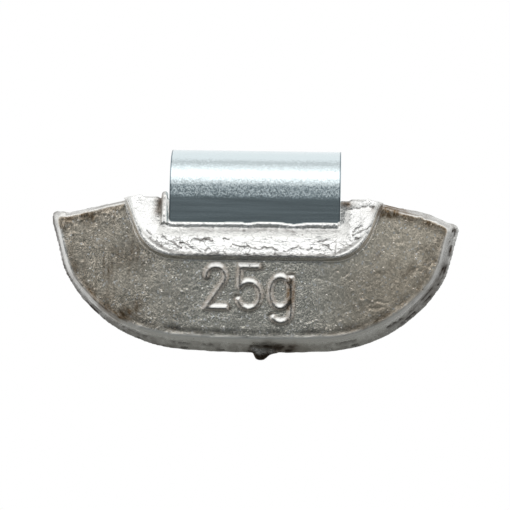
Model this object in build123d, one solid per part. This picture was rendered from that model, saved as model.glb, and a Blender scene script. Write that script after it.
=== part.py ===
from build123d import *
from math import cos, radians, sin, sqrt, tan
import os

# Clip-on wheel balance weight: a cast lead-alloy body and the spring-steel clip that is cast into it.
# X runs along the rim (the length of the weight), Z points up to the bend of the clip, and -Y is the
# outer side that shows on the wheel. The origin is the axis of the clip's bend, at mid width. Millimetres.

# Spring clip: one bent strip
clip_width = 20.0
clip_thickness = 0.9
hook_radius = 3.8           # inside of the bend, which grips the lip of the rim
leg_drop = 10.6             # from the bend axis to the end of the cast-in leg
hook_end_angle = -45.0      # where the bend ends behind the lip, from the rear horizontal
jaw_run = 1.9               # straight part behind the bend
flare_radius = 1.6          # lead-in of the jaw, at mid thickness
flare_angle = 78.0
anchor_diameter = 3.0       # holes that lock the leg in the lead
anchor_spacing = 10.0
anchor_rise = 2.7           # centre of the holes above the end of the leg
leg_corner = 2.0
jaw_corner = 1.2
clip_edge_break = 0.15       # bevel that takes off the sheared edges

# Cast body: crescent outline at the parting line, seen from the front
body_length = 47.7          # between the tips, before they are rounded
shoulder_length = 27.6      # level part of the top edge
shoulder_drop = 1.05        # top edge below the bend axis
end_fall = 13.7             # slope of the top edge towards the tips, in degrees
side_taper = 14.0           # lean of the ends, in degrees
hip_drop = 9.7              # where the ends turn into the belly curve
body_drop = 19.05           # lowest point of the body
belly_radius = 16.6
bottom_radius = 135.0
bottom_flat = 16.0          # width of the shallow bottom curve
tip_radius = 1.1
shoulder_radius = 4.0
hip_radius = 7.0

# Cast body: depths
front_cover = 0.8           # lead in front of the leg
back_cover = 1.5            # lead behind the leg
front_half = 1.9            # parting line to front face
face_top_inset = 0.45       # draft of the front mould half, wider along the bottom edge
face_side_inset = 1.1
face_bottom_inset = 1.7
back_inset = 0.45           # draft of the back mould half
mould_shift = 0.25          # mismatch of the mould halves along the length
face_edge_radius = 0.45
seat_clearance = 0.3        # rim-lip seat behind the shoulders, beyond the bend's radius
slot_drop = 2.7             # top of the lead behind the leg, below the bend axis

# Raised pad round the clip, dished towards it
pad_width = 30.4            # at the top edge
pad_drop = 8.3              # foot of the pad below the bend axis
pad_lean = 20.0             # lean of the pad's sides, in degrees
pad_corner = 5.0
pad_top_rise = 0.45         # height over the front face at the top edge
pad_slope = 6.0             # how far the pad's ridge leans back, in degrees
pad_draft = 0.45            # draft of the pad's step
pad_root = 0.15             # how deep the pad's foot runs into the front face
pad_edge_radius = 0.25
pad_land = 0.32             # ridge between the step and the dish
dish_clearance = 0.35       # beside the clip, at the floor of the dish
dish_drop = 4.15            # floor of the dish below the bend axis
dish_splay = 12.0           # lean of the dish's inner side edges, in degrees
dish_corner = 0.5

# Broken-off casting gate under the body
gate_offset = 1.2
gate_width = 3.4
gate_height = 0.7
gate_depth = 1.2

# Planes and places worked out from the sizes
hook_outer = hook_radius + clip_thickness
face_y = -(hook_outer + front_cover)
parting_y = face_y + front_half
back_y = -(hook_radius - back_cover)
shoulder_half = shoulder_length / 2
tip_half = body_length / 2
bottom_half = bottom_flat / 2


def front_plane(y):
    """Plane across the object at depth y, seen from the front: X to the right, Z up."""
    return Plane((0, y, 0), x_dir=(1, 0, 0), z_dir=(0, -1, 0))


def flip(point):
    """The same point on the left half."""
    return Vector(-point.X, point.Y)


def rounded(face, point, radius):
    """Round the corner of a symmetric outline nearest to a point, on both halves."""
    for corner in (point, flip(point)):
        vertex = face.vertices().sort_by_distance(corner)[0]
        face = fillet(vertex, radius)
    return face


def crescent(top_inset, side_inset, bottom_inset):
    """Outline of the body, drawn in by the draft of the mould at one depth."""
    fall = radians(end_fall)
    taper = radians(side_taper)
    tip_drop = shoulder_drop + (tip_half - shoulder_half) * tan(fall)
    hip_half = tip_half - (hip_drop - tip_drop) * tan(taper)
    inward = Vector(-cos(taper), sin(taper)) * side_inset
    downward = Vector(-sin(fall), -cos(fall)) * top_inset
    shoulder = Vector(shoulder_half, -shoulder_drop - top_inset)
    tip = Vector(tip_half, -tip_drop) + inward + downward
    hip = Vector(hip_half, -hip_drop) + inward
    low = -body_drop + bottom_inset
    bottom_rise = bottom_radius - sqrt(bottom_radius**2 - bottom_half**2)
    foot = Vector(bottom_half, low + bottom_rise)
    right = Polyline(shoulder, tip, hip) + RadiusArc(hip, foot, belly_radius)
    left = Polyline(flip(shoulder), flip(tip), flip(hip)) + RadiusArc(flip(hip), flip(foot), -belly_radius)
    top = Line(flip(shoulder), shoulder)
    bottom = ThreePointArc(foot, Vector(0, low), flip(foot))
    face = make_face(top + right + left + bottom)
    face = rounded(face, tip, tip_radius)
    face = rounded(face, shoulder, shoulder_radius)
    return rounded(face, hip, hip_radius)


def pad_outline(inset, stretch):
    """Outline of the raised pad, drawn in by an inset; stretch lengthens it along a sloping plane."""
    lean = tan(radians(pad_lean))
    foot = -pad_drop + inset
    top_half = pad_width / 2 - inset
    foot_half = top_half - (-shoulder_drop - foot) * lean
    mouth_half = top_half + (shoulder_drop + hook_radius) * lean
    return trough(mouth_half, foot_half, foot, pad_corner - inset, stretch)


def dish_outline():
    """Inner edge of the dish, round the clip."""
    foot_half = clip_width / 2 + dish_clearance
    mouth_half = foot_half + (dish_drop + hook_radius) * tan(radians(dish_splay))
    return trough(mouth_half, foot_half, -dish_drop, dish_corner, 1)


def trough(mouth_half, foot_half, foot, corner_radius, stretch):
    """Outline with leaning sides and two rounded lower corners, open well above the body."""
    mouth_corner = Vector(mouth_half, hook_radius * stretch)
    foot_corner = Vector(foot_half, foot * stretch)
    corners = (mouth_corner, foot_corner, flip(foot_corner), flip(mouth_corner))
    face = make_face(Polyline(*corners, close=True))
    return rounded(face, foot_corner, corner_radius)


def make_clip():
    """Bent strip with a straight leg, a hook over the rim lip and a flared jaw."""
    mid_radius = hook_radius + clip_thickness / 2
    leg = Line((-mid_radius, -leg_drop), (-mid_radius, 0))
    bend = CenterArc((0, 0), mid_radius, 180, hook_end_angle - 180)
    jaw = Line(bend @ 1, bend @ 1 + (bend % 1) * jaw_run)
    flare = JernArc(jaw @ 1, jaw % 1, flare_radius, flare_angle)
    profile = Plane.YZ * trace(leg + bend + jaw + flare, clip_thickness)
    strip = extrude(profile, clip_width / 2, both=True)
    leg_end = strip.edges().filter_by(Axis.Y).group_by(Axis.Z)[0]
    strip = fillet(leg_end, leg_corner)
    jaw_face = strip.faces().sort_by_distance(Plane.YZ.from_local_coords(flare @ 1))[0]
    strip = fillet(jaw_face.edges().sort_by(SortBy.LENGTH)[:2], jaw_corner)
    sides = strip.faces().sort_by(Axis.X)
    strip = chamfer(sides[0].edges() + sides[-1].edges(), clip_edge_break)
    for side in (-1, 1):
        anchor = Pos(side * anchor_spacing / 2, -mid_radius, anchor_rise - leg_drop)
        strip -= anchor * Rot(90, 0, 0) * Cylinder(anchor_diameter / 2, 2 * clip_thickness)
    return strip


def make_body():
    """Two drafted mould halves that meet at the parting line."""
    parting = front_plane(parting_y) * crescent(0, 0, 0)
    face = front_plane(face_y) * crescent(face_top_inset, face_side_inset, face_bottom_inset)
    back = front_plane(back_y) * crescent(back_inset, back_inset, back_inset)
    front_part = loft([parting, face], ruled=True)
    front_rim = front_part.faces().sort_by(Axis.Y)[0].edges()
    front_part = fillet(front_rim, face_edge_radius)
    back_part = loft([parting, back], ruled=True)
    return front_part + Pos(mould_shift, 0, 0) * back_part


def ridge_plane():
    """Plane of the pad's ridge, which leans back towards the clip."""
    slope = radians(pad_slope)
    axis_y = face_y - pad_top_rise + shoulder_drop * tan(slope)
    return Plane((0, axis_y, 0), x_dir=(1, 0, 0), z_dir=(0, -cos(slope), sin(slope)))


def make_pad():
    """Boss that holds the clip, trimmed to the top edge of the body."""
    stretch = 1 / cos(radians(pad_slope))
    foot = front_plane(face_y + pad_root) * pad_outline(0, 1)
    ridge = ridge_plane() * pad_outline(pad_draft, stretch)
    pad = loft([foot, ridge], ruled=True)
    ridge_edges = pad.faces().sort_by(Axis.Y)[0].edges().sort_by(Axis.Z)[:-1]
    pad = fillet(ridge_edges, pad_edge_radius)
    return pad & extrude(front_plane(0) * crescent(0, 0, 0), 4 * hook_outer)


def make_dish():
    """Funnel-shaped hollow of the pad, from its ridge to the front of the clip."""
    stretch = 1 / cos(radians(pad_slope))
    inner = front_plane(-hook_outer) * dish_outline()
    outer = ridge_plane() * pad_outline(pad_draft + pad_land, stretch)
    return loft([inner, outer], ruled=True)


def make_gate():
    """Stub of the casting gate on the parting line."""
    root = -body_drop + gate_height
    left = gate_offset - gate_width / 2
    outline = make_face(Polyline(
        (left, root), (left + gate_width / 6, -body_drop), (left + gate_width / 4, -body_drop - gate_height),
        (left + gate_width / 2, -body_drop - gate_height / 2), (left + gate_width, -body_drop),
        (left + gate_width, root), close=True,
    ))
    return extrude(front_plane(parting_y) * outline, gate_depth / 2, both=True)


def make_casting(clip):
    """The lead body with its dished pad, rim-lip seat and gate stub, cast round the clip."""
    casting = make_body() + make_pad() - make_dish() + make_gate()
    seat = Rot(0, 90, 0) * Cylinder(hook_radius + seat_clearance, 2 * body_length)
    slot_top = 2 * shoulder_drop
    slot_depth = hook_radius + clip_thickness / 2
    slot = Box(clip_width, slot_depth, slot_drop + slot_top, align=(Align.CENTER, Align.MAX, Align.MIN))
    casting = casting - seat - Pos(0, 0, -slot_drop) * slot
    return casting - clip


spring_clip = make_clip()
cast_weight = make_casting(spring_clip)

os.makedirs("parts", exist_ok=True)
export_step(spring_clip, "parts/spring_clip.step")
export_step(cast_weight, "parts/cast_weight.step")
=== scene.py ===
import random
from functools import partial
from math import cos, pi, radians, sin, sqrt, tan

import bmesh
import bpy
import numpy as np
from bpy.props import FloatProperty, FloatVectorProperty, PointerProperty
from mathutils import Matrix, Quaternion, Vector, kdtree, noise


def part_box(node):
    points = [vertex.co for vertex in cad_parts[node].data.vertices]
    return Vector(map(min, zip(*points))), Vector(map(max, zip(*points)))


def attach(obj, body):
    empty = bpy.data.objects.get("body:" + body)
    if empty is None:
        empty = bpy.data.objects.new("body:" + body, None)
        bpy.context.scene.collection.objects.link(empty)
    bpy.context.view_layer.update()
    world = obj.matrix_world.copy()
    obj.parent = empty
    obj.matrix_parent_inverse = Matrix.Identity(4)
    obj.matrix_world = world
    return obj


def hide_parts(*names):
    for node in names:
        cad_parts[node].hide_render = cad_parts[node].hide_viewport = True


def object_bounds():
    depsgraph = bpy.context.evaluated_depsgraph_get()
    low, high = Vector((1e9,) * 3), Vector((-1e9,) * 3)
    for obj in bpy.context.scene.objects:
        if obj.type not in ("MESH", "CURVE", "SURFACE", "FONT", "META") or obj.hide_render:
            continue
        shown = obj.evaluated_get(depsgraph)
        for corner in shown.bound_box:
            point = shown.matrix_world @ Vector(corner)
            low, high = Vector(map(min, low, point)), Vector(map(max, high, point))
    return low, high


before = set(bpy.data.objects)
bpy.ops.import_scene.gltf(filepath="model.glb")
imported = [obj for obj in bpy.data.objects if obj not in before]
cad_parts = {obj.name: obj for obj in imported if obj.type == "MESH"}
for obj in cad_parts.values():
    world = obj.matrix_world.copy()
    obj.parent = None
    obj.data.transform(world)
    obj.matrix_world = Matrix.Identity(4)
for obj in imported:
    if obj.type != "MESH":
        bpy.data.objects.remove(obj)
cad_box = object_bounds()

bl_info = {
    "name": "Wheel balance weight",
    "version": (1, 0, 0),
    "blender": (4, 5, 0),
    "location": "3D View > Sidebar > Weight",
    "description": "Clip-on wheel balance weight: lead casting, zinc-plated spring clip and studio stage",
    "category": "Object",
}

MM = 0.001
CLIP_LOW, CLIP_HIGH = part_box("spring_clip")
MERGE_GAP = 0.002 * MM

# Places and sizes on the casting are in millimetres, seen from the front: x to the right, z up

# Outline of the raised pad, with the lean of its sides in degrees
PAD = {"half": 15.2, "top": -1.05, "foot": -8.3, "lean": 20, "corner": 5}
# Cracks in the skin of the pad
PAD_CRACKS = (
    [(-12.3, -5.0), (-11.9, -5.3), (-11.5, -5.6), (-11.2, -5.7)],
    [(-10.8, -5.6), (-10.4, -5.6), (-10.0, -5.9), (-9.5, -6.2), (-9.0, -6.5), (-8.4, -6.9)],
    [
        (-8.6, -6.3), (-8.3, -6.2), (-7.9, -6.4), (-7.5, -6.7),
        (-7.1, -6.8), (-6.6, -7.0), (-6.2, -7.1), (-6.0, -7.3),
    ],
    [(-5.7, -7.1), (-5.1, -6.9), (-4.9, -7.2)],
    [(-7.4, -6.1), (-7.0, -5.8), (-6.5, -5.9), (-6.1, -6.0), (-5.7, -5.8), (-5.2, -5.7), (-4.7, -6.1)],
    [(-3.6, -5.8), (-3.2, -5.7), (-2.7, -5.8)],
    [
        (-2.7, -6.6), (-2.4, -6.4), (-1.7, -6.7), (-0.6, -6.6), (-0.1, -6.7),
        (1.0, -6.9), (1.2, -6.6), (2.4, -6.9), (2.9, -7.1),
    ],
    [(3.5, -7.1), (4.0, -6.9), (5.2, -6.5), (5.6, -6.9), (6.5, -6.9), (6.8, -6.6)],
    [(7.0, -6.8), (7.5, -6.9), (7.9, -6.7)],
    [(8.0, -6.3), (8.6, -6.4), (9.1, -6.9)],
    [(7.4, -5.9), (7.9, -6.0), (8.9, -5.6)],
    [(10.75, -2.3), (11.8, -2.0), (13.0, -1.86), (13.9, -1.86)],
    [(11.4, -4.8), (11.9, -4.4), (12.5, -4.0)],
    [(11.4, -5.1), (12.1, -4.8), (13.0, -4.4), (13.4, -4.1)],
    [(11.1, -5.6), (11.4, -5.8), (11.9, -5.5), (12.5, -5.4)],
)
# Lead that wells up along the foot of the clip: strength of the painted shade under each stretch, and its
# path
LIP_STROKES = (
    (0.3, [(-9.9, -4.2), (-7.5, -4.18), (-4.0, -4.14), (-1.25, -4.11)]),
    (0.45, [(-1.1, -4.23), (0.6, -4.03), (2.6, -4.03), (4.5, -4.25)]),
    (0.25, [(4.7, -4.25), (6.0, -4.08), (8.0, -4.03), (9.8, -4.05)]),
)
LIP_SIZE = {"height": 0.22, "behind_face": 0.7}
# Fin of flash on the left of the clip, with its lean in degrees
FIN_SIZE = {"width": 0.8, "height": 0.5, "behind_face": 1.3, "lean": 12.5}
FIN = [(-10.52, -0.7), (-10.54, -2.2), (-10.48, -4.1)]
# Drops of flash: place, with its depth behind the face, and radius
DROPS = (
    ((-10.52, 1.3, -0.72), 0.4),
    ((-21.85, 0.55, -3.45), 0.42),
    ((19.3, 0.25, -2.95), 0.36),
    ((21.1, 0.35, -3.4), 0.3),
)
# Scratches on the face
FACE_MARKS = (
    [(15.3, -13.0), (14.7, -12.8), (13.9, -12.9), (13.3, -13.2), (13.5, -13.6), (14.4, -13.7), (15.2, -13.4)],
    [(18.8, -7.1), (19.4, -6.6)],
    [(-19.9, -6.5), (-19.6, -6.4), (-19.4, -6.7)],
    [(21.0, -5.6), (21.4, -4.5)],
    [(19.4, -9.3), (20.2, -8.0)],
    [(20.0, -9.5), (20.8, -7.9)],
    [(18.4, -9.8), (19.0, -8.7)],
)
# Places where the outline is bent: place, radius and offset
NUDGES = (
    ((-23.3, -3.7), 1.0, (-0.25, 0, 0.65)),
    ((22.8, -2.9), 1.4, (0, 0, -0.42)),
    ((1.1, -19.7), 0.7, (0.3, 0, -0.4)),
)
# Stains: film, middle (x, z), half width, half height and level
STAINS = (
    ("grime_and_shade", 2.6, -18.4, 2.0, 0.7, 0.8),
    ("grime_and_shade", 1.0, -19.8, 1.6, 0.9, 1.7),
    ("oxide_and_shade", 3.0, -18.5, 3.2, 0.7, 0.7),
    ("oxide_and_shade", -14.9, -14.7, 1.4, 0.7, 1.0),
    ("oxide_and_shade", -17.0, -13.6, 0.6, 0.9, 0.9),
    ("oxide_and_shade", -13.4, -13.5, 0.9, 0.8, 0.6),
    # The oxide and dirt at x about ±11 darken the recesses beside the clip's ends, partly with brown colour
    # and partly with painted shade
    ("oxide_and_shade", -11.05, -1.9, 0.45, 1.5, 1.0),
    ("grime_and_shade", -11.05, -1.6, 0.35, 1.3, 0.9),
    ("oxide_and_shade", 10.7, -1.55, 0.8, 0.42, 1.0),
    ("grime_and_shade", 10.6, -1.5, 0.5, 0.3, 0.6),
    ("oxide_and_shade", 15.6, -2.3, 1.7, 0.7, 1.0),
    ("grime_and_shade", 22.9, -6.8, 0.2, 0.6, 0.8),
    ("grime_and_shade", 22.2, -8.9, 0.3, 0.5, 0.8),
    ("grime_and_shade", 23.3, -4.1, 0.3, 0.35, 0.9),
    ("oxide_and_shade", -17.1, -9.0, 0.14, 1.5, 0.7),
    ("oxide_and_shade", -16.6, -9.4, 0.12, 1.7, 0.6),
    ("oxide_and_shade", -16.2, -9.2, 0.14, 1.6, 0.7),
    ("oxide_and_shade", -20.4, -9.4, 0.5, 1.2, 0.5),
)
# Sloping top edges of both ends: height, fall for each millimetre, and where they start
TOP_EDGE = -1.6
TOP_FALL = 0.24
TOP_START = 13
# Random marks
SEED = 25
DENTS = 120
SCRATCHES = 50
FOLDS = 12
TOP_SCUFFS = 26
# Share of the skin's faces that is kept; flat places lose theirs first
KEPT_SHARE = 0.85
# What the skin holds for its material; calm is smooth and matt
FILMS = ("oxide_and_shade", "grime_and_shade", "dull_and_shade", "painted_highlight", "face", "wrinkled", "raised", "crack", "calm")


def linear(code):
    """sRGB hex code as linear red, green and blue."""
    values = [int(code[i:i + 2], 16) / 255 for i in (0, 2, 4)]
    return [v / 12.92 if v <= 0.04045 else ((v + 0.055) / 1.055) ** 2.4 for v in values]


def opaque(colour):
    """A colour property as the four values that a socket takes."""
    return (*colour, 1)


def length(name, description, millimetres):
    """Property for a length, with its default in millimetres."""
    return FloatProperty(
        name=name, description=description, default=millimetres * MM, unit="LENGTH", precision=5,
    )


def angle(name, description, degrees):
    """Property for an angle, with its default in degrees."""
    return FloatProperty(name=name, description=description, default=radians(degrees), unit="ROTATION")


def colour(name, description, code):
    """Property for a colour, with its default as an sRGB hex code."""
    return FloatVectorProperty(name=name, description=description, default=linear(code), subtype="COLOR")


class CastWeightSettings(bpy.types.PropertyGroup):
    """Sizes and colours of the lead casting."""

    cell: length("Mesh cell", "Edge length of the remeshed skin", 0.14)
    cover: length("Cover", "Lead in front of the clip's leg, up to the flat face", 0.8)
    front_half: length("Front half", "Parting line behind the flat face", 1.9)
    stroke: length("Stroke", "Width of the raised number's strokes at the face", 0.86)
    relief: length("Relief", "Height of the raised number", 0.24)
    slump: length("Slump", "How far the crest of the number's strokes sits below their middle", 0.18)
    lip: length("Lip", "Width of the lead that wells up along the foot of the clip", 0.86)
    lead: colour("Lead", "Clean as-cast lead", "D2D2CF")
    left_film: colour("Left film", "Film on the left end of the face", "D6CCBC")
    middle_film: colour("Middle film", "Darker film in the middle of the face", "CBC8BE")
    right_film: colour("Right film", "Pale warm film on the right end of the face", "EEE2CF")
    # Painted highlight: this bright colour is laid on the pad's arms, the fin, the lip, the pad's edges and
    # the crest of the left end
    painted_highlight: colour("Fresh lead", "Bright lead on the pad and along edges", "F0F0EE")
    # Dull lead, and also painted shade deepening towards the back of the drafted walls
    dull_and_shade: colour("Dull lead", "Matt lead on the drafted walls and the back", "8E8B86")
    # Oxide, and also painted shade on the sides of the number's strokes that face away from the light
    oxide_and_shade: colour("Oxide", "Brown oxide in hollows and along edges", "6E5B44")
    # Dirt, and also painted shade under the lip, on the step round the pad, at the back of the left and
    # bottom walls and on the number's shaded sides
    grime_and_shade: colour("Grime", "Dark dirt in grooves and cracks", "3B322B")


class SpringClipSettings(bpy.types.PropertyGroup):
    """Sizes and colour of the spring clip."""

    thickness: length("Thickness", "Thickness of the strip", 0.9)
    lead_in_radius: length("Lead-in radius", "Gentle kink at the top of the leg", 8.3)
    lead_in: angle("Lead-in angle", "Turn of that kink", 3.8)
    lead_in_run: length("Lead-in run", "Straight part between the kink and the bend", 0.88)
    bend_end: angle("Bend end", "Turn of the strip from the leg to the end of the bend", 225)
    jaw_run: length("Jaw run", "Straight part behind the bend", 1.9)
    flare_radius: length("Flare radius", "Lead-in of the jaw at mid thickness", 1.6)
    flare: angle("Flare", "Turn of the jaw's lead-in", 78)
    jaw_corner: length("Jaw corner", "Rounded corners of the jaw", 1.2)
    leg_corner: length("Leg corner", "Rounded corners of the cast-in leg", 2)
    anchor_diameter: length("Anchor diameter", "Holes that lock the leg in the lead", 3)
    anchor_spacing: length("Anchor spacing", "Distance between those holes", 10)
    anchor_rise: length("Anchor rise", "Centre of the holes above the end of the leg", 2.7)
    edge: length("Edge", "Rounding of the sheared edges", 0.14)
    zinc: colour("Zinc", "Bright zinc plating with a cold blue cast", "D3DEE1")
    shear: colour("Sheared edge", "Darker steel along the sheared edges", "77838A")


class StageSettings(bpy.types.PropertyGroup):
    """Camera, light and floor."""

    view_width: length("View width", "Width of the picture at the object", 59.48)
    view_distance: length("View distance", "Camera to the object", 300)
    view_turn: angle("View turn", "How far the camera stands to the right", 2)
    view_roll: angle("View roll", "Turn of the camera about its own axis", 0.9)
    view_centre: length("View centre", "Middle of the picture below the bend axis", 7.63)
    view_side: length("View side", "Middle of the picture to the right of the object's middle", 0.13)
    floor_drop: length("Floor drop", "Floor below the object, which hangs as on its rim", 60)
    floor_radius: length("Floor radius", "Radius at which the floor has faded into white", 110)
    floor: colour("Floor", "Pale floor", "8E8E8A")


def node(tree, kind, inputs=None, **options):
    """Add a shader node with its options and inputs, where another node stands for its first output."""
    made = tree.nodes.new("ShaderNode" + kind)
    for name, value in options.items():
        setattr(made, name, value)
    for name, value in (inputs or {}).items():
        if isinstance(value, bpy.types.Node):
            value = value.outputs[0]
        if isinstance(value, bpy.types.NodeSocket):
            tree.links.new(value, made.inputs[name])
        else:
            made.inputs[name].default_value = value
    return made


def new_material(name):
    """Empty node material, and the function that adds nodes to it."""
    material = bpy.data.materials.new(name)
    material.use_nodes = True
    material.node_tree.nodes.clear()
    return material, partial(node, material.node_tree)


def new_object(name, mesh):
    """Object at the origin that holds a mesh."""
    made = bpy.data.objects.new(name, mesh)
    bpy.context.scene.collection.objects.link(made)
    return made


def mesh_of(bm, name):
    """Finished mesh of a bmesh, with smooth faces."""
    mesh = bpy.data.meshes.new(name)
    bm.to_mesh(mesh)
    bm.free()
    mesh.polygons.foreach_set("use_smooth", [True] * len(mesh.polygons))
    return mesh


def apply_modifiers(piece):
    """Replace a piece's mesh by what its modifiers make of it."""
    graph = bpy.context.evaluated_depsgraph_get()
    mesh = bpy.data.meshes.new_from_object(piece.evaluated_get(graph))
    piece.modifiers.clear()
    old = piece.data
    piece.data = mesh
    bpy.data.meshes.remove(old)


def set_stops(ramp, stops):
    """Give a colour ramp its stops, as positions and colours."""
    elements = ramp.color_ramp.elements
    while len(elements) < len(stops):
        elements.new(1.0)
    for element, (position, tone) in zip(elements, stops):
        element.position = position
        element.color = opaque(tone)


def scales(*sizes):
    """Texture scales for features of these sizes in millimetres, one for each axis."""
    return [1 / (size * MM) for size in sizes]


# Lead casting

def arc(centre, across, up, start, end, steps=14):
    """Points of an elliptical arc, in millimetres and degrees."""
    turns = [radians(start + (end - start) * i / steps) for i in range(steps + 1)]
    return [(centre[0] + across * cos(t), centre[1] + up * sin(t)) for t in turns]


def number_strokes():
    """Centre lines of the plain mass number, seen from the front."""
    two = arc((-4.37, -10.1), 1.12, 1.15, 185, -25) + [(-5.5, -13.75), (-2.95, -13.75)]
    five = [(0.75, -8.95), (-1.55, -8.95), (-1.6, -11.15)] + arc((-0.5, -12.25), 1.35, 1.55, 140, -165)
    bowl = arc((3.15, -11.85), 1.2, 1.8, 0, 360, 24)
    tail = [(4.45, -10.05), (4.45, -14.0)] + arc((3.25, -14.1), 1.2, 1.2, 0, -150)
    return two, five, bowl, tail


def flat_face(settings):
    """Depth of the flat front face."""
    return -CLIP_HIGH[2] - settings.cover


def add_ridges(bm, strokes, width, height, y, roundness=0, lean=0, slump=0):
    """Add low ridges along strokes, on a front plane that may lean back; slump lowers their crest."""
    curve = bpy.data.curves.new("strokes", "CURVE")
    curve.dimensions = "2D"
    curve.bevel_depth = width / 2
    curve.bevel_resolution = roundness
    curve.use_fill_caps = True
    for points in strokes:
        spline = curve.splines.new("POLY")
        spline.points.add(len(points) - 1)
        for point, (x, z) in zip(spline.points, points):
            point.co = (x * MM, z * MM, 0, 1)
    holder = bpy.data.objects.new("strokes", curve)
    mesh = bpy.data.meshes.new_from_object(holder)
    slant = Matrix.Identity(4)
    slant[1][2] = tan(lean)
    slant[2][1] = slump / height
    stand = Matrix.Rotation(pi / 2, 4, "X") @ Matrix.Diagonal((1, 1, 2 * height / width, 1))
    mesh.transform(Matrix.Translation((0, y, 0)) @ slant @ stand)
    bm.from_mesh(mesh)
    bpy.data.meshes.remove(mesh)
    bpy.data.objects.remove(holder)
    bpy.data.curves.remove(curve)


def rough_casting(settings):
    """The CAD form with its raised number, lip, fin and drops, joined into one even skin."""
    face_y = flat_face(settings)
    bm = bmesh.new()
    bm.from_mesh(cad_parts["cast_weight"].data)
    bmesh.ops.remove_doubles(bm, verts=bm.verts, dist=MERGE_GAP)
    add_ridges(bm, number_strokes(), settings.stroke, settings.relief, face_y, slump=settings.slump)
    lip = [path for _, path in LIP_STROKES]
    add_ridges(bm, lip, settings.lip, LIP_SIZE["height"] * MM, face_y + LIP_SIZE["behind_face"] * MM)
    add_ridges(
        bm, [FIN], FIN_SIZE["width"] * MM, FIN_SIZE["height"] * MM, face_y + FIN_SIZE["behind_face"] * MM,
        roundness=2, lean=radians(FIN_SIZE["lean"]),
    )
    for place, radius in DROPS:
        spot = Matrix.Translation(Vector(place) * MM + Vector((0, face_y, 0)))
        bmesh.ops.create_icosphere(bm, subdivisions=3, radius=radius * MM, matrix=spot)
    piece = new_object("lead_casting", mesh_of(bm, "lead_casting"))
    form = new_object("form", piece.data.copy())
    remesh = piece.modifiers.new("skin", "REMESH")
    remesh.mode = "VOXEL"
    remesh.voxel_size = settings.cell
    remesh.use_smooth_shade = True
    follow = piece.modifiers.new("follow", "SHRINKWRAP")
    follow.target = form
    even = piece.modifiers.new("even", "SMOOTH")
    even.factor = 0.5
    even.iterations = 4
    apply_modifiers(piece)
    bpy.data.meshes.remove(form.data)
    return piece


def hill(distance, width):
    """Smooth hump of height 1 over a distance."""
    return np.exp(-(distance / width) ** 2)


def ease(value, low, high):
    """Smooth step from 0 at low to 1 at high."""
    share = np.clip((value - low) / (high - low), 0, 1)
    return share * share * (3 - 2 * share)


def ripple(points, sizes, shift=0):
    """Smooth noise at each point, with one feature size, or one for each axis, in millimetres."""
    scaled = points / np.array(sizes) + shift
    return np.array([noise.noise(p) for p in scaled.tolist()])


class Skin:
    """Surface of the casting while it is worked on, in millimetres."""

    def __init__(self, mesh, settings):
        count = len(mesh.vertices)
        points = np.empty(count * 3)
        normals = np.empty(count * 3)
        mesh.vertices.foreach_get("co", points)
        mesh.vertex_normals.foreach_get("vector", normals)
        self.mesh = mesh
        self.point = points.reshape(-1, 3) / MM
        self.normal = normals.reshape(-1, 3)
        self.lift = np.zeros(count)
        for name in FILMS:
            setattr(self, name, np.zeros(count))
        self.x, self.y, self.z = self.point.T
        self.behind = self.y - flat_face(settings) / MM
        self.parting = self.behind - settings.front_half / MM
        self.pad = self.pad_depth()
        facing = -self.normal[:, 1]
        upward = ease(self.normal[:, 2], 0.1, 0.35)
        self.front = ease(facing, 0.3, 0.6) * ease(-self.behind, -1.4, -1.2)
        self.flat = ease(facing, 0.8, 0.95) * hill(self.behind, 0.35) * ease(-self.pad, 0, 0.2)
        self.face = hill(np.minimum(self.behind, 0), 0.1) * self.flat * (1 - upward)
        right_arm = 0.6 * ease(self.x, 10.5, 11.5) * ease(-self.z, 2.8, 4)
        rough = np.maximum(ease(-self.z, 5.2, 6.2), right_arm)
        self.wrinkled = ease(self.pad, 0.4, 0.8) * self.front * (0.3 + 0.7 * rough)
        self.wall = ease(1 - abs(facing), 0.08, 0.26) * ease(-self.pad, -0.6, 0)

    def pad_depth(self):
        """Distance inside the outline of the raised pad."""
        lean = tan(radians(PAD["lean"]))
        half = PAD["half"] + (self.z - PAD["top"]) * lean
        across = abs(self.x) - half + PAD["corner"]
        down = PAD["foot"] + PAD["corner"] - self.z
        outside = np.hypot(np.maximum(across, 0), np.maximum(down, 0))
        inside = np.minimum(np.maximum(across, down), 0)
        return PAD["corner"] - outside - inside

    def away(self, path, shake=(0, 0)):
        """Distance of each point from a path, seen from the front; shake makes the path unsteady."""
        x = self.x + shake[0]
        z = self.z + shake[1]
        nearest = np.full(len(x), np.inf)
        for (x0, z0), (x1, z1) in zip(path, path[1:]):
            run = np.array((x1 - x0, z1 - z0))
            share = ((x - x0) * run[0] + (z - z0) * run[1]) / run.dot(run)
            share = np.clip(share, 0, 1)
            gap = np.hypot(x - x0 - share * run[0], z - z0 - share * run[1])
            nearest = np.minimum(nearest, gap)
        return nearest

    def groove(self, path, width, depth):
        """Press a groove into the front along a path, or raise a ridge if the depth is negative."""
        self.lift -= depth * hill(self.away(path), width) * self.front

    def dent(self, x, z, radius, depth):
        """Press a round dent into the front, or raise a bump if the depth is negative."""
        self.lift -= depth * hill(np.hypot(self.x - x, self.z - z), radius) * self.front

    def nudge(self, place, radius, offset):
        """Shift what lies round a place, seen from the front."""
        near = hill(np.hypot(self.x - place[0], self.z - place[1]), radius)
        self.point += near[:, None] * np.array(offset)

    def finish(self):
        """Move the skin, and keep its films as attributes."""
        moved = (self.point + self.normal * self.lift[:, None]) * MM
        self.mesh.vertices.foreach_set("co", moved.ravel())
        self.mesh.update()
        for name in FILMS:
            values = np.clip(getattr(self, name), 0, 1)
            self.mesh.attributes.new(name, "FLOAT", "POINT").data.foreach_set("value", values)


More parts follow.
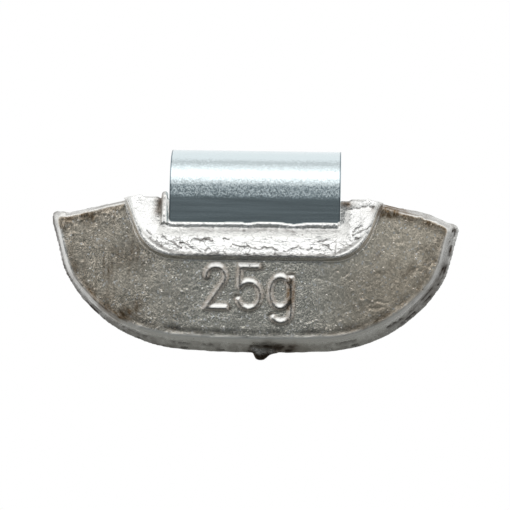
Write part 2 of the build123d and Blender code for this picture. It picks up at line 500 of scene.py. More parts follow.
def edge_distance(skin):
    """Distance of each point from the edge of the flat face, seen from the front."""
    facing = -skin.normal[:, 1]
    turning = (facing > 0.6) & (facing < 0.9)
    close = (skin.behind > 0.02) & (skin.behind < 0.4)
    places = skin.point[turning & close & (skin.pad < -0.3)]
    tree = kdtree.KDTree(len(places))
    for index, (x, _, z) in enumerate(places):
        tree.insert((x, 0, z), index)
    tree.balance()
    return np.array([tree.find((x, 0, z))[2] for x, _, z in skin.point.tolist()])


def stretch(start, lie, reach):
    """Straight path from a start, at an angle."""
    return [start, (start[0] + reach * cos(lie), start[1] + reach * sin(lie))]


def scuff_top(skin, draw):
    """Short raised scuffs below the top edge of the left end."""
    for _ in range(TOP_SCUFFS):
        x = draw.uniform(-22.5, -14.5)
        z = TOP_EDGE - TOP_FALL * (-x - TOP_START) - draw.uniform(0.1, 1.7)
        path = stretch((x, z), radians(draw.gauss(70, 35)), draw.uniform(0.2, 0.7))
        skin.groove(path, draw.uniform(0.09, 0.13), -draw.uniform(0.03, 0.07))


def work_face(skin, draw):
    """Flow marks, dents, bumps and scratches of the flat face, and its calm right end."""
    left = ease(-skin.x, 11, 15)
    right = ease(skin.x, 4, 9)
    middle = 1 - left - right
    slant = skin.point @ Matrix.Rotation(radians(28), 3, "Y")
    flow = left * ripple(skin.point, (0.45, 1, 1.3)) + middle * ripple(skin.point, (1.3, 1, 0.5))
    flow += right * ripple(slant, (1.4, 1, 0.45))
    lumps = ripple(skin.point, 2.2)
    skin.lift += skin.flat * (1 - 0.6 * right) * (0.016 * flow + 0.04 * lumps)
    for _ in range(DENTS):
        x = draw.uniform(-22, 22)
        z = draw.uniform(-17, -2.5)
        skin.dent(x, z, draw.uniform(0.13, 0.24), draw.choice((-1, -1, 1)) * draw.uniform(0.02, 0.06))
    for _ in range(SCRATCHES):
        x = draw.uniform(-22, 22)
        z = draw.uniform(-17, -3)
        lie = radians(draw.gauss(90 if x < -12 else 30 if x > 6 else 8, 25))
        path = stretch((x, z), lie, draw.uniform(0.3, 1.2))
        skin.groove(path, draw.uniform(0.09, 0.14), draw.choice((-1, 1, 1)) * draw.uniform(0.02, 0.05))
    for path in FACE_MARKS:
        skin.groove(path, 0.11, 0.045)
    number = np.max([hill(skin.away(path), 0.9) for path in number_strokes()], axis=0)
    skin.lift *= 1 - 0.8 * number
    lively = ease(ripple(skin.point, 3, 43), 0.05, 0.35)
    still = ease(skin.x, 6, 12)
    level = 0.15 + 0.08 * ease(-skin.x, 7, 12) + 0.26 * still
    skin.calm = skin.flat * level * (1 - (0.7 - 0.5 * still) * lively)


def work_pad(skin, draw):
    """Cold-flow folds and cracks of the dished pad."""
    skin.lift += skin.wrinkled * 0.03 * ripple(skin.point, (1.6, 1, 0.9))
    skin.lift += skin.wrinkled * 0.02 * ripple(skin.point, (0.5, 1, 0.35))
    for _ in range(FOLDS):
        x = draw.uniform(-11.5, 11)
        z = draw.uniform(-7.3, -5.2)
        path = [(x, z)]
        for _ in range(draw.randint(2, 6)):
            x += draw.uniform(0.25, 0.6)
            z += draw.uniform(-0.22, 0.22)
            path.append((x, z))
        skin.groove(path, draw.uniform(0.07, 0.1), draw.uniform(0.04, 0.09))
    shake = [0.22 * ripple(skin.point, 0.5, shift) for shift in (31, 37)]
    torn = np.clip(1.2 + 0.8 * ripple(skin.point, 0.7, 41), 0, 1)
    for path in PAD_CRACKS:
        near = skin.away(path, shake)
        skin.lift -= 0.07 * hill(near, 0.16) * skin.front
        skin.crack = np.maximum(skin.crack, skin.front * torn * (1 - near / 0.3))


def work_arms(skin):
    """Arms of the pad, which lean back beside the clip, and the fin on the left, both made bright with
    painted highlight.
    """
    arms = ease(abs(skin.x), 10.9, 11.4) * ease(skin.pad, 0.6, 0.9)
    skin.point[:, 1] += 0.08 * arms * ease(-skin.behind, -1.5, -0.9) * np.maximum(skin.z + 5, 0)
    # Painted highlight on the arms and the fin
    skin.painted_highlight += arms * skin.front * np.where(skin.x < 0, 1, 0.9)
    skin.painted_highlight += 0.7 * hill(skin.away(FIN), 0.3) * skin.front
    skin.raised += hill(skin.away(FIN), 0.4) * ease(skin.pad, 0.6, 0.9)
    inner = arms * ease(skin.pad, 1.4, 2)
    skin.point[:, 2] += 0.2 * inner * ease(skin.z, -2.2, -1.4) * ease(-skin.behind, -2, -1.7)


def work_lip(skin):
    """Lip along the foot of the clip with painted highlight on it and painted shade under it, the dark step
    round the pad as painted shade with painted highlight further in, and a painted highlight along the pad's
    edge.
    """
    grainy = 1 + 0.8 * ripple(skin.point, 0.4, 23)
    for level, path in LIP_STROKES:
        under = [(x, z - 0.58) for x, z in path]
        skin.groove(under, 0.3, 0.03)
        # Painted highlight on the lip, and painted shade under it
        skin.painted_highlight += 0.9 * hill(skin.away(path), 0.4) * skin.front
        skin.grime_and_shade += level * grainy * hill(skin.away(under), 0.25) * skin.front * ease(skin.x, -9, -7)
    ragged = skin.pad + 0.25 * ripple(skin.point, 0.5, 33)
    foot = ease(-ragged, -0.98, -0.82) * ease(skin.pad, 0.3, 0.5) * ease(-skin.z, 4.5, 6.5)
    # Painted shade on the step round the pad, with painted highlight further in
    skin.grime_and_shade += 0.42 * grainy * foot
    skin.painted_highlight += 0.8 * skin.front * ease(ragged, 0.82, 0.98) * ease(-skin.z, 5.2, 6)
    skin.crack = np.maximum(skin.crack, 0.85 - abs(skin.pad - 0.06) / 0.3)
    # Painted highlight along the pad's edge
    skin.painted_highlight += 0.6 * hill(skin.pad - 0.3, 0.1)


def work_rim(skin):
    """Raised rim of the face and wavy top edge, with a darker band inside the rim at the bottom, oxide under
    the top edge and painted highlight on the crest of the left end; gives the rim's distance.
    """
    reach = edge_distance(skin)
    below_top = ease(np.maximum(TOP_EDGE - skin.z, 0) - TOP_FALL * (abs(skin.x) - TOP_START), 0.6, 1.6)
    unsteady = np.clip(0.6 + 0.8 * ripple(skin.point, 2, 7), 0.2, 1.1)
    brow = ease(-skin.normal[:, 1], 0.35, 0.6) * ease(-skin.pad, 0, 0.2)
    rim = 0.11 * brow * hill(reach, 0.17) - 0.04 * skin.flat * hill(reach - 0.6, 0.3)
    skin.lift += rim * unsteady * below_top
    crest = hill(reach, 0.2) * below_top * ease(-skin.behind, -0.5, -0.3)
    skin.raised += crest
    # Painted highlight along the crest of the left end
    skin.painted_highlight += 0.55 * crest * ease(-skin.x, 13, 17)
    skin.calm += 0.9 * crest * ease(-skin.normal[:, 2], -0.05, 0.15)
    # Darker band inside the rim along the bottom of the face
    skin.grime_and_shade += 0.7 * unsteady * hill(reach - 0.7, 0.42) * skin.flat * ease(-skin.z, 12, 16)
    skin.lift += skin.wall * 0.02 * ripple(skin.point, (2.5, 0.8, 2.5), 3)
    wavy = ripple(skin.point, (1.3, 4, 1.3), 13)
    brown = np.where(skin.x > 0, 0.8, 0.5) + 0.6 * ripple(skin.point, 1.1, 29)
    skin.oxide_and_shade += brown * (1 - below_top) * skin.face * hill(reach, np.where(skin.x > 0, 1, 0.6))
    top_edge = (1 - below_top) * ease(-skin.behind, -0.9, -0.3) * ease(-skin.pad, 0.2, 0.5)
    skin.point[:, 2] += 0.08 * wavy * top_edge
    return reach


def work_walls(skin):
    """Dull drafted walls, darkened further with painted shade towards the back, and the dirty groove and
    flash along the parting line.
    """
    upper = ease(skin.normal[:, 2], 0.3, 0.7)
    lower = ease(-skin.normal[:, 2], -0.35, 0.1)
    bottom = ease(-skin.normal[:, 2], 0.5, 0.75)
    right = ease(skin.normal[:, 0], 0.1, 0.6)
    left = ease(-skin.normal[:, 0], 0.3, 0.7)
    worn = 0.4 * ripple(skin.point, 1.2, 17) + 0.25 * ripple(skin.point, 0.4, 27)
    # Painted shade: the walls' dull colour deepens towards the back, less so on the left, the upper right and
    # the bottom
    shaded = (0.8 - 0.6 * left) * ease(skin.behind, 0.3, 0.9) * (1 - right * ease(skin.z, -9, -6.5))
    shaded -= (0.4 + 0.3 * ease(skin.x, 4, 12)) * bottom
    skin.dull_and_shade += skin.wall * (1 - upper) * np.clip(shaded + worn, 0, 1)
    skin.dull_and_shade += skin.wall * upper * np.clip(0.35 + worn, 0, 1)
    patchy = ease(ripple(skin.point, 1.2, 47), -0.1, 0.25) * ease(skin.x, 13.5, 15)
    skin.oxide_and_shade += 0.6 * patchy * skin.wall * upper * ease(-skin.x, -21, -19)
    outer = skin.wall * ease(skin.behind, 0.5, 0.8)
    blotches = ripple(skin.point, (1.6, 3, 1.6), 11) + 0.6 * ripple(skin.point, 0.5, 19)
    front_line = hill(skin.parting + 0.75 + 0.12 * blotches, 0.16)
    back_line = hill(skin.parting + 0.2, 0.14)
    groove = np.maximum(front_line, back_line) * ease(blotches, -0.1, 0.35)
    skin.lift -= outer * 0.12 * groove
    skin.grime_and_shade += outer * groove * (0.45 + 0.4 * right - 0.3 * left) * lower
    # Painted shade: the left and bottom walls darken towards the back
    skin.grime_and_shade += (0.25 * bottom + 0.6 * left) * ease(skin.behind, 0.8, 1.7) * np.clip(1 + worn, 0, 2)
    flash = ripple(skin.point, (0.9, 3, 0.9), 5)
    skin.lift += outer * (0.05 + 0.06 * flash) * hill(skin.parting, 0.16)


def widen_left(skin):
    """Carry the front of the left end outwards, where its wall is steeper."""
    away = np.stack((skin.x + 8, np.zeros(len(skin.x)), skin.z + 6), axis=1)
    away /= np.linalg.norm(away, axis=1)[:, None] + 1e-6
    share = ease(-skin.x, 9, 17) * ease(-skin.behind, -1.6, -0.3)
    skin.point += 0.35 * share[:, None] * away


def stain(skin, reach):
    """Brown oxide in patches, along the rim and the pad and in drips, a dull back, and single stains, those
    beside the clip's ends standing partly for painted shade in the recesses there.
    """
    patches = ease(ripple(skin.point, 5, 2) + 0.5 * ripple(skin.point, 1.4), 0, 0.7)
    along = hill(reach, 0.8) * ease(reach, 0.15, 0.4) * ease(ripple(skin.point, 1.8, 9), -0.2, 0.4)
    ends = ease(abs(skin.x), 6, 16)
    skin.oxide_and_shade += skin.face * (0.05 * ends + 0.6 * patches * ends + 0.5 * along)
    skin.oxide_and_shade += 0.3 * hill(skin.pad + 0.1, 0.18) * ends
    skin.oxide_and_shade += 0.36 * skin.flat * ease(skin.x, 7, 13) * ease(-skin.z, 7.5, 11)
    back = ease(skin.normal[:, 1], 0.5, 0.9)
    uneven = ripple(skin.point, 7, 49) + ripple(skin.point, (0.9, 0.9, 0.5), 53)
    skin.dull_and_shade += back * (0.75 + 0.25 * uneven)
    skin.oxide_and_shade += 0.15 * back * patches
    drips = ease(ripple(skin.point, (0.35, 2, 3), 21), 0.05, 0.5) * ease(-skin.x, 11, 14)
    skin.oxide_and_shade += 0.25 * skin.flat * drips
    for kind, x, z, width, height, level in STAINS:
        spot = np.hypot((skin.x - x) / width, (skin.z - z) / height)
        spot += 0.5 * ripple(skin.point, 0.8, 4)
        film = getattr(skin, kind)
        film += level * hill(np.maximum(spot, 0), 1) * ease(-skin.behind, -3.3, -2.3)


def stain_number(skin):
    """Number worn bright where its strokes face up, with painted shade in oxide brown and dirt on their other
    sides.
    """
    lit = ease(skin.normal[:, 2] - 0.9 * abs(skin.normal[:, 0]), 0, 0.2)
    shaded_side = np.maximum(1 - ease(skin.normal[:, 2], 0.02, 0.16), 0.85 * (1 - lit))
    for path in number_strokes():
        away = skin.away(path)
        near = hill(np.maximum(away - 0.25, 0), 0.2) * skin.front
        # Painted shade: oxide brown and dirt on the sides of the strokes that face away from the light
        skin.oxide_and_shade += 0.6 * near * shaded_side + 0.25 * hill(away - 0.45, 0.2) * skin.flat
        skin.grime_and_shade += 0.1 * near * shaded_side
        skin.raised += near * (0.35 + 0.65 * lit)
        skin.calm *= 1 - hill(away, 0.9)


def spots(add, place, spacing, radius, share):
    """Scattered round spots, 1 in the middle and 0 outside, in millimetres."""
    cells = add("TexVoronoi", {"Vector": place, "Scale": 1 / (spacing * MM)})
    spot = add("MapRange", {
        "Value": cells, "From Min": radius / spacing, "From Max": 0.2 * radius / spacing,
    }, interpolation_type="SMOOTHSTEP")
    pick = add("SeparateColor", {"Color": cells.outputs["Color"]}).outputs["Red"]
    chosen = add("Math", {0: pick, 1: share}, operation="LESS_THAN")
    return add("Math", {0: spot, 1: chosen}, operation="MULTIPLY")


def facets(add, crystals, tilt, normal):
    """Normal that each crystal tips its own way."""
    tip = add("VectorMath", {0: crystals, 1: (0.5, 0.5, 0.5)}, operation="SUBTRACT")
    tipped = add("VectorMath", {0: tip, "Scale": tilt}, operation="SCALE")
    turned_out = add("VectorMath", {0: normal, 1: tipped}, operation="ADD")
    return add("VectorMath", {0: turned_out}, operation="NORMALIZE")


def total(add, parts):
    """Weighted sum of values."""
    result = 0.0
    for value, weight in parts:
        result = add("Math", {0: value, 1: weight, 2: result}, operation="MULTIPLY_ADD")
    return result


# The lead flowed round a middle above the number: its shift to the origin, and its radius in millimetres
FLOW_SHIFT = (1 * MM, 0, -2 * MM)
FLOW_RADIUS = 14
# Half the length over which the face changes colour
FACE_HALF = 24 * MM


def flow_course(add, place, along, across):
    """Coordinates that follow the flow of the lead round the body, for features in millimetres."""
    centred = add("Mapping", {"Vector": place, "Location": FLOW_SHIFT})
    part = add("SeparateXYZ", {"Vector": centred}).outputs
    down = add("Math", {0: part["Z"], 1: -1.0}, operation="MULTIPLY")
    turn = add("Math", {0: part["X"], 1: down}, operation="ARCTAN2")
    flat = add("CombineXYZ", {"X": part["X"], "Z": part["Z"]})
    reach = add("VectorMath", {0: flat}, operation="LENGTH").outputs["Value"]
    ahead = add("Math", {0: turn, 1: FLOW_RADIUS / along}, operation="MULTIPLY")
    out = add("Math", {0: reach, 1: 1 / (across * MM)}, operation="MULTIPLY")
    deep = add("Math", {0: part["Y"], 1: 1 / (across * MM)}, operation="MULTIPLY")
    return add("CombineXYZ", {"X": ahead, "Y": deep, "Z": out})


def film_colour(add, place, settings):
    """Colour of the flat face from its left end to its right end."""
    x = add("SeparateXYZ", {"Vector": place}).outputs["X"]
    share = add("MapRange", {"Value": x, "From Min": -FACE_HALF, "From Max": FACE_HALF})
    ramp = add("ValToRGB", {"Fac": share})
    middle = settings.middle_film
    set_stops(ramp, ((0.15, settings.left_film), (0.38, middle), (0.62, middle), (0.85, settings.right_film)))
    return ramp


def pad_crackle(add, place, wrinkled):
    """Torn seams between the plates of the pad's crackled skin."""
    shaken = add("TexNoise", {"Vector": place, "Scale": 1 / (0.6 * MM), "Detail": 3}).outputs["Color"]
    drift = add("VectorMath", {0: shaken, "Scale": 0.7 * MM}, operation="SCALE")
    strayed = add("VectorMath", {0: place, 1: drift}, operation="ADD")
    plates = add("TexVoronoi", {"Vector": strayed, "Scale": 1 / MM}, feature="DISTANCE_TO_EDGE")
    seams = add("MapRange", {"Value": plates, "From Min": 0.07, "From Max": 0.02})
    tearing = add("TexNoise", {"Vector": place, "Scale": 1 / (1.3 * MM), "Detail": 2})
    torn = add("MapRange", {"Value": tearing, "From Min": 0.48, "From Max": 0.58})
    on_pad = add("Math", {0: torn, 1: wrinkled}, operation="MULTIPLY")
    return add("Math", {0: seams, 1: on_pad}, operation="MULTIPLY")


def cast_texture(add, place, flow, wrinkled):
    """Height of the cast skin: flow lines and streaks, grain, creases in patches and the pad's folds."""
    course = flow_course(add, place, 2.2, 0.17)
    streaks = add("TexNoise", {
        "Vector": course, "Scale": 1.0, "Detail": 3, "Roughness": 0.6, "Distortion": 0.3,
    })
    # Grain drawn coarser than real lead's, so that it shows
    fine = add("Mapping", {"Vector": place, "Scale": scales(0.13, 0.2, 0.24)})
    grain = add("TexNoise", {"Vector": fine, "Scale": 1.0, "Detail": 3, "Roughness": 0.6})
    patch = add("TexNoise", {"Vector": place, "Scale": 1 / (3 * MM), "Detail": 2})
    uneven = add("MapRange", {
        "Value": patch, "From Min": 0.42, "From Max": 0.6, "To Min": 0.2, "To Max": 1.0,
    })
    creases = add("TexNoise", {
        "Vector": place, "Scale": 1 / (0.4 * MM), "Detail": 3, "Roughness": 0.6, "Offset": 1.0,
        "Distortion": 0.5,
    }, noise_type="RIDGED_MULTIFRACTAL")
    creased = add("Math", {0: creases, 1: uneven}, operation="MULTIPLY")
    stretched = add("Mapping", {"Vector": place, "Scale": scales(1.6, 0.8, 0.6)})
    folds = add("TexNoise", {
        "Vector": stretched, "Scale": 1.0, "Detail": 2, "Roughness": 0.5, "Offset": 1.0, "Distortion": 0.8,
    }, noise_type="RIDGED_MULTIFRACTAL")
    folded = add("Math", {0: folds, 1: wrinkled}, operation="MULTIPLY")
    return total(add, ((flow, 1.0), (streaks, 2.0), (grain, 5.5), (creased, 1.0), (folded, -4.0)))


def cast_lead(settings):
    """As-cast lead alloy: a metal skin with flow lines and glinting grain, dull film and brown oxide, and
    painted highlight and painted shade in its colours.
    """
    material, add = new_material("as_cast_lead_alloy")
    place = add("TexCoord").outputs["Object"]
    film = {name: add("Attribute", attribute_name=name).outputs["Fac"] for name in FILMS}
    course = flow_course(add, place, 0.8, 0.3)
    flow = add("TexNoise", {"Vector": course, "Scale": 1.0, "Detail": 3, "Roughness": 0.6, "Distortion": 1.0})
    cracks = add("MapRange", {"Value": film["crack"], "From Min": 0.64, "From Max": 0.9})
    crackle = pad_crackle(add, place, film["wrinkled"])
    pimples = spots(add, place, 0.6, 0.12, 0.4)
    pits = spots(add, place, 0.7, 0.13, 0.2)
    texture = cast_texture(add, place, flow, film["wrinkled"])
    height = total(add, ((texture, 1.0), (cracks, -3.0), (crackle, -2.0)))
    smooth = add("Math", {0: film["raised"], 1: 0.75}, operation="MULTIPLY")
    still = add("Math", {0: smooth, 1: film["calm"]}, operation="MAXIMUM")
    rough = add("Math", {0: 1.0, 1: still}, operation="SUBTRACT", use_clamp=True)
    low = add("Bump", {"Height": height, "Strength": rough, "Distance": 0.01 * MM})
    dots = total(add, ((pimples, 4.0), (pits, -3.0)))
    skin = add("Bump", {"Height": dots, "Strength": 1.0, "Distance": 0.01 * MM, "Normal": low})
    # Crystals drawn coarser than real ones, so that each one shows as a glint
    crystals = add("TexVoronoi", {"Vector": place, "Scale": 1 / (0.2 * MM)}).outputs["Color"]
    tilt = add("MapRange", {"Value": film["raised"], "To Min": 0.11, "To Max": 0.02})
    normal = facets(add, crystals, tilt, skin)
    # The film is left off crystals that tip up towards the light, so that their glints show white: painted
    # highlight. It is left off pimples and raised places too
    upright = add("SeparateColor", {"Color": crystals}).outputs["Blue"]
    not_tipped_up = add("MapRange", {"Value": upright, "From Min": 0.97, "From Max": 0.92})
    veil = add("Math", {0: film["face"], 1: not_tipped_up}, operation="MULTIPLY")
    covered = total(add, ((film["raised"], -1.0), (pimples, -1.0), (1.0, 1.0)))
    veiled = add("Math", {0: veil, 1: covered}, operation="MULTIPLY", use_clamp=True)
    speckle = add("MapRange", {
        "Value": flow, "From Min": 0.35, "From Max": 0.6, "To Min": 0.55, "To Max": 1.0,
    })
    # Oxide, with the painted shade that it carries
    stain_and_shade = add("Math", {0: film["oxide_and_shade"], 1: speckle}, operation="MULTIPLY")
    brown = total(add, ((stain_and_shade, 1.0), (pits, 0.5)))
    # Dark dirt and cracks, with the painted shade that the dirt film carries
    dirt_and_shade = total(add, ((film["grime_and_shade"], 1.0), (cracks, 0.75), (crackle, 0.5)))
    tone = opaque(settings.lead)
    layers = (
        (veiled, film_colour(add, place, settings)), (film["dull_and_shade"], opaque(settings.dull_and_shade)),
        (film["painted_highlight"], opaque(settings.painted_highlight)), (brown, opaque(settings.oxide_and_shade)),
        (dirt_and_shade, opaque(settings.grime_and_shade)),
    )
    for share, layer in layers:
        tone = add("MixRGB", {"Fac": share, "Color1": tone, "Color2": layer})
    mottle = add("TexNoise", {"Vector": place, "Scale": 1 / (0.22 * MM), "Detail": 3, "Roughness": 0.7})
    shade = add("MapRange", {
        "Value": mottle, "From Min": 0.3, "From Max": 0.7, "To Min": 0.8, "To Max": 1.16,
    })
    tone = add("MixRGB", {"Fac": veiled, "Color1": tone, "Color2": shade}, blend_type="MULTIPLY")
    matt = total(add, ((film["calm"], 0.28), (film["dull_and_shade"], 0.18), (1.0, 0.22)))
    shader = add("BsdfPrincipled", {"Base Color": tone, "Metallic": 1.0, "Roughness": matt, "Normal": normal})
    add("OutputMaterial", {"Surface": shader})
    return material


class BALANCE_OT_cast_weight(bpy.types.Operator):
    """Make the lead casting that stands for the CAD body"""

    bl_idname = "balance.cast_weight"
    bl_label = "Lead casting"

    def execute(self, context):
        settings = context.scene.cast_weight
        piece = rough_casting(settings)
        skin = Skin(piece.data, settings)
        draw = random.Random(SEED)
        work_face(skin, draw)
        work_pad(skin, draw)
        work_arms(skin)
        work_lip(skin)
        scuff_top(skin, draw)
        reach = work_rim(skin)
        work_walls(skin)
        stain(skin, reach)
        stain_number(skin)
        widen_left(skin)
        for mark in NUDGES:
            skin.nudge(*mark)
        skin.finish()
        fewer = piece.modifiers.new("fewer", "DECIMATE")
        fewer.ratio = KEPT_SHARE
        apply_modifiers(piece)
        piece.data.materials.clear()
        piece.data.materials.append(cast_lead(settings))
        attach(piece, "root")
        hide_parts("cast_weight")
        return {"FINISHED"}


# Spring clip

# Steps of its curves
KINK_STEPS = 6
BEND_STEPS = 96
FLARE_STEPS = 24
CORNER_STEPS = 6
HOLE_STEPS = 40


def run(bm, edges, offset):
    """Lengthen the strip in a straight line."""
    made = bmesh.ops.extrude_edge_only(bm, edges=edges)["geom"]
    bmesh.ops.translate(bm, vec=offset, verts=[v for v in made if isinstance(v, bmesh.types.BMVert)])
    return [item for item in made if isinstance(item, bmesh.types.BMEdge) and item.is_boundary]


def bend(bm, edges, centre, turn, steps):
    """Lengthen the strip in an arc about a line across it."""
    made = bmesh.ops.spin(bm, geom=edges, cent=centre, axis=(1, 0, 0), angle=turn, steps=steps)
    return [item for item in made["geom_last"] if isinstance(item, bmesh.types.BMEdge)]


def heading(turn):
    """Direction of the strip after a turn from straight up towards the back."""
    return Vector((0, sin(turn), cos(turn)))


def end_edge(edges):
    """The edge that runs across the strip, and its middle."""
    across = max(edges, key=lambda e: abs(e.verts[0].co.x - e.verts[1].co.x))
    return across, (across.verts[0].co + across.verts[1].co) / 2


def turned(bm, edge, point, turn, step, radius, count):
    """Bend the strip on towards the back; gives its new end edge, the middle of that edge and its heading."""
    centre = point + radius * heading(turn + pi / 2)
    edge, point = end_edge(bend(bm, [edge], centre, -step, count))
    return edge, point, turn + step


def round_jaw(verts, centre, tip, radius, corner):
    """Narrow the end of the flare so that its two corners are round."""
    for vert in verts:
        arm = Vector((0, *(vert.co - centre).yz))
        gap = corner - radius * arm.angle(tip - centre)
        if gap > 0:
            inset = corner - sqrt(max(corner ** 2 - gap ** 2, 0))
            vert.co.x -= inset if vert.co.x > 0 else -inset


def anchor_pins(settings):
    """Pins that stand for the holes in the cast-in leg."""
    bm = bmesh.new()
    mid = CLIP_HIGH[2] - settings.thickness / 2
    for side in (-1, 1):
        place = (side * settings.anchor_spacing / 2, -mid, CLIP_LOW[2] + settings.anchor_rise)
        bmesh.ops.create_cone(
            bm, cap_ends=True, segments=HOLE_STEPS, radius1=settings.anchor_diameter / 2,
            radius2=settings.anchor_diameter / 2, depth=2 * settings.thickness,
            matrix=Matrix.Translation(place) @ Matrix.Rotation(pi / 2, 4, "X"),
        )
    return new_object("anchor_pins", mesh_of(bm, "anchor_pins"))


def clip_sheet(settings):
    """Mid surface of the strip: leg, slight kink, bend, jaw and flare."""
    half = CLIP_HIGH[0]
    mid = CLIP_HIGH[2] - settings.thickness / 2
    rise = settings.lead_in_radius * sin(settings.lead_in) + settings.lead_in_run * cos(settings.lead_in)
    leg_top = mid * sin(settings.lead_in) - rise
    bm = bmesh.new()
    ends = [bm.verts.new((side * half, -mid, CLIP_LOW[2])) for side in (-1, 1)]
    edge, point = end_edge(run(bm, [bm.edges.new(ends)], (0, 0, leg_top - CLIP_LOW[2])))
    edge, point, turn = turned(bm, edge, point, 0, settings.lead_in, settings.lead_in_radius, KINK_STEPS)
    edge, point = end_edge(run(bm, [edge], settings.lead_in_run * heading(turn)))
    edge, point, turn = turned(bm, edge, point, turn, settings.bend_end - turn, mid, BEND_STEPS)
    edge, point = end_edge(run(bm, [edge], settings.jaw_run * heading(turn)))
    centre = point + settings.flare_radius * heading(turn - pi / 2)
    straight = set(bm.verts)
    _, point = end_edge(bend(bm, [edge], centre, settings.flare, FLARE_STEPS))
    flared = [vert for vert in bm.verts if vert not in straight]
    round_jaw(flared, centre, point, settings.flare_radius, settings.jaw_corner)
    bmesh.ops.recalc_face_normals(bm, faces=bm.faces)
    bmesh.ops.bevel(
        bm, geom=ends, affect="VERTICES", offset=settings.leg_corner, segments=CORNER_STEPS, profile=0.5,
        material=-1,
    )
    return bm


def bright_zinc(settings):
    """Zinc-plated spring steel: a cold mirror with rolling lines, and grain where the bend strained it."""
    material, add = new_material("zinc_plated_spring_steel")
    place = add("TexCoord").outputs["Object"]
    part = add("SeparateXYZ", {"Vector": place}).outputs
    rolled = add("Mapping", {"Vector": place, "Scale": scales(9, 0.4, 0.4)})
    lines = add("TexNoise", {"Vector": rolled, "Scale": 1.0, "Detail": 3})
    # Grain and crystals drawn coarser than real ones, so that they show
    fine = add("Mapping", {"Vector": place, "Scale": scales(0.13, 0.3, 0.3)})
    peel = add("TexNoise", {"Vector": fine, "Scale": 1.0, "Detail": 2})
    strained = add("MapRange", {
        "Value": part["Z"], "From Min": -1.1 * MM, "From Max": -0.7 * MM, "To Min": 0.12, "To Max": 1.0,
    })
    low = add("Bump", {"Height": lines, "Strength": 1.0, "Distance": 0.006 * MM})
    bump = add("Bump", {"Height": peel, "Strength": strained, "Distance": 0.022 * MM, "Normal": low})
    streaks = add("MapRange", {
        "Value": lines, "From Min": 0.35, "From Max": 0.65, "To Min": 0.85, "To Max": 1.08,
    })
    even = add("Math", {0: 1.0, 1: strained}, operation="SUBTRACT")
    zinc = opaque(settings.zinc)
    plating = add("MixRGB", {"Fac": even, "Color1": zinc, "Color2": streaks}, blend_type="MULTIPLY")
    tilt = add("Math", {0: strained, 1: 0.1}, operation="MULTIPLY")
    crystals = add("TexVoronoi", {"Vector": place, "Scale": 1 / (0.14 * MM)}).outputs["Color"]
    normal = facets(add, crystals, tilt, bump)
    # Dark line along both sheared edges
    aside = add("Math", {0: part["X"]}, operation="ABSOLUTE")
    off = add("Math", {0: aside, 1: CLIP_HIGH[0] - 0.09 * MM}, operation="SUBTRACT")
    gap = add("Math", {0: off}, operation="ABSOLUTE")
    edge = add("MapRange", {"Value": gap, "From Min": 0.08 * MM, "From Max": 0.04 * MM})
    tone = add("MixRGB", {"Fac": edge, "Color1": plating, "Color2": opaque(settings.shear)})
    shader = add("BsdfPrincipled", {"Base Color": tone, "Metallic": 1.0, "Roughness": 0.17, "Normal": normal})
    add("OutputMaterial", {"Surface": shader})
    return material


class BALANCE_OT_spring_clip(bpy.types.Operator):
    """Make the bent strip that stands for the CAD clip"""

    bl_idname = "balance.spring_clip"
    bl_label = "Spring clip"

    def execute(self, context):
        settings = context.scene.spring_clip
        piece = new_object("clip_strip", mesh_of(clip_sheet(settings), "clip_strip"))
        solid = piece.modifiers.new("thickness", "SOLIDIFY")
        solid.thickness = settings.thickness
        solid.offset = 0
        solid.use_even_offset = True
        pins = anchor_pins(settings)
        holes = piece.modifiers.new("anchors", "BOOLEAN")
        holes.operation = "DIFFERENCE"
        holes.object = pins
        rounding = piece.modifiers.new("edges", "BEVEL")
        rounding.width = settings.edge
        rounding.segments = 3
        rounding.limit_method = "ANGLE"
        rounding.angle_limit = radians(50)
        normals = piece.modifiers.new("normals", "WEIGHTED_NORMAL")
        normals.weight = 100
        apply_modifiers(piece)
        bpy.data.meshes.remove(pins.data)
        piece.data.materials.append(bright_zinc(settings))
        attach(piece, "root")
        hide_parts("spring_clip")
        return {"FINISHED"}


# Stage

# Brightness of the studio round the object's length: 0 degrees is towards the camera, 90 up and 180 behind
SKY = (
    (-180, 1.08), (-110, 0.6), (-75, 0.12), (-40, 0.1), (-8, 0.128), (4.5, 0.128), (9, 0.4), (15, 0.65),
    (23, 0.95), (32, 1.42), (37, 1.7), (57, 1.7), (61, 1.43), (72, 1.12), (85, 0.73), (89, 0.7),
    (96, 1.03), (102, 1.11), (180, 1.08),
)
# Levels below this one are tinted cold
COLD_BELOW = 0.5
COLD = (0.88, 1.0, 1.06)
WHITE = (1.0, 1.0, 1.0)


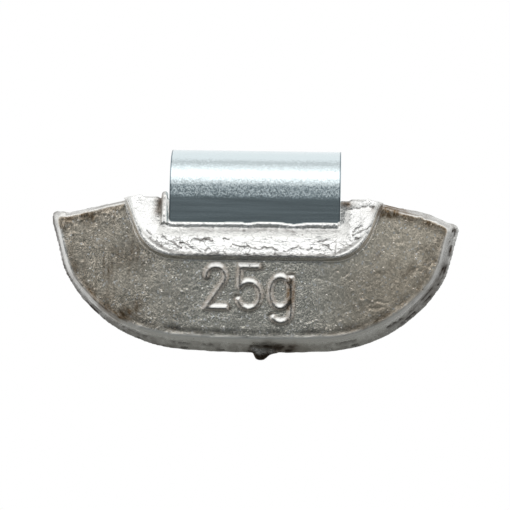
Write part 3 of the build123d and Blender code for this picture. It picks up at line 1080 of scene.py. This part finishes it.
def studio_light(scene):
    """White behind and beside the object, and a dark side where the camera stands."""
    world = bpy.data.worlds.new("studio")
    scene.world = world
    world.use_nodes = True
    world.node_tree.nodes.clear()
    add = partial(node, world.node_tree)
    way = add("SeparateXYZ", {"Vector": add("TexCoord").outputs["Generated"]}).outputs
    front = add("Math", {0: way["Y"], 1: -1.0}, operation="MULTIPLY")
    rise = add("Math", {0: way["Z"], 1: front}, operation="ARCTAN2")
    share = add("MapRange", {"Value": rise, "From Min": -pi, "From Max": pi})
    ramp = add("ValToRGB", {"Fac": share})
    set_stops(ramp, [
        ((degrees + 180) / 360, [level * tint for tint in (COLD if level < COLD_BELOW else WHITE)])
        for degrees, level in SKY
    ])
    aside = add("Math", {0: way["X"]}, operation="ABSOLUTE")
    sides = add("MapRange", {"Value": aside, "From Min": 0.45, "From Max": 0.62})
    height = total(add, ((way["X"], -0.2), (way["Y"], -0.3), (way["Z"], 1.0)))
    level = add("MapRange", {
        "Value": height, "From Min": -0.55, "From Max": 0.05, "To Min": 0.45, "To Max": 1.15,
    })
    tone = add("MixRGB", {"Fac": sides, "Color1": ramp, "Color2": level})
    seen = add("LightPath").outputs["Is Camera Ray"]
    view = add("MixRGB", {"Fac": seen, "Color1": tone, "Color2": opaque(WHITE)})
    light = add("Background", {"Color": view, "Strength": 1.0})
    add("OutputWorld", {"Surface": light})


def pale_floor(settings):
    """Matt pale board that fades into white around the object."""
    material, add = new_material("matt_board")
    place = add("TexCoord").outputs["Object"]
    reach = add("VectorMath", {0: place}, operation="LENGTH").outputs["Value"]
    fade = add("MapRange", {
        "Value": reach, "From Min": settings.floor_radius / 3, "From Max": settings.floor_radius,
    }, interpolation_type="SMOOTHSTEP")
    board = add("BsdfDiffuse", {"Color": opaque(settings.floor)})
    clear = add("BsdfTransparent")
    blend = add("MixShader", {0: fade, 1: board, 2: clear})
    add("OutputMaterial", {"Surface": blend})
    return material


class BALANCE_OT_stage(bpy.types.Operator):
    """Set up the floor, the light and the camera"""

    bl_idname = "balance.stage"
    bl_label = "Stage"

    def execute(self, context):
        scene = context.scene
        settings = scene.balance_stage
        scene.view_settings.view_transform = "Standard"
        bm = bmesh.new()
        bmesh.ops.create_circle(bm, cap_ends=True, segments=64, radius=settings.floor_radius)
        floor = new_object("floor", mesh_of(bm, "floor"))
        floor.location.z = cad_box[0][2] - settings.floor_drop
        floor.data.materials.append(pale_floor(settings))
        studio_light(scene)
        camera = bpy.data.cameras.new("camera")
        camera.lens = camera.sensor_width * settings.view_distance / settings.view_width
        camera.clip_start = 0.01
        holder = bpy.data.objects.new("camera", camera)
        scene.collection.objects.link(holder)
        target = Vector((settings.view_side, CLIP_LOW[1], -settings.view_centre))
        aim = Vector((sin(settings.view_turn), -cos(settings.view_turn), 0))
        holder.location = target + aim * settings.view_distance
        turn = (-aim).to_track_quat("-Z", "Y") @ Quaternion((0, 0, 1), settings.view_roll)
        holder.rotation_euler = turn.to_euler()
        scene.camera = holder
        return {"FINISHED"}


class BALANCE_PT_panel(bpy.types.Panel):
    """Pieces of the balance weight, in the order in which they are made"""

    bl_idname = "BALANCE_PT_panel"
    bl_label = "Wheel balance weight"
    bl_space_type = "VIEW_3D"
    bl_region_type = "UI"
    bl_category = "Weight"

    def draw(self, context):
        groups = (
            (BALANCE_OT_cast_weight, context.scene.cast_weight),
            (BALANCE_OT_spring_clip, context.scene.spring_clip),
            (BALANCE_OT_stage, context.scene.balance_stage),
        )
        for operator, settings in groups:
            box = self.layout.box()
            for name in settings.__annotations__:
                box.prop(settings, name)
            box.operator(operator.bl_idname)


SETTINGS = {
    "cast_weight": CastWeightSettings,
    "spring_clip": SpringClipSettings,
    "balance_stage": StageSettings,
}
CLASSES = (BALANCE_OT_cast_weight, BALANCE_OT_spring_clip, BALANCE_OT_stage, BALANCE_PT_panel)


def register():
    """Add the settings, operators and panel."""
    for name, group in SETTINGS.items():
        bpy.utils.register_class(group)
        setattr(bpy.types.Scene, name, PointerProperty(type=group))
    for item in CLASSES:
        bpy.utils.register_class(item)


def unregister():
    """Take the settings, operators and panel away again."""
    for item in reversed(CLASSES):
        bpy.utils.unregister_class(item)
    for name, group in SETTINGS.items():
        delattr(bpy.types.Scene, name)
        bpy.utils.unregister_class(group)


def main():
    """Make every piece and the stage."""
    register()
    bpy.ops.balance.cast_weight()
    bpy.ops.balance.spring_clip()
    bpy.ops.balance.stage()
    bpy.context.view_layer.update()


if __name__ == "__main__":
    main()
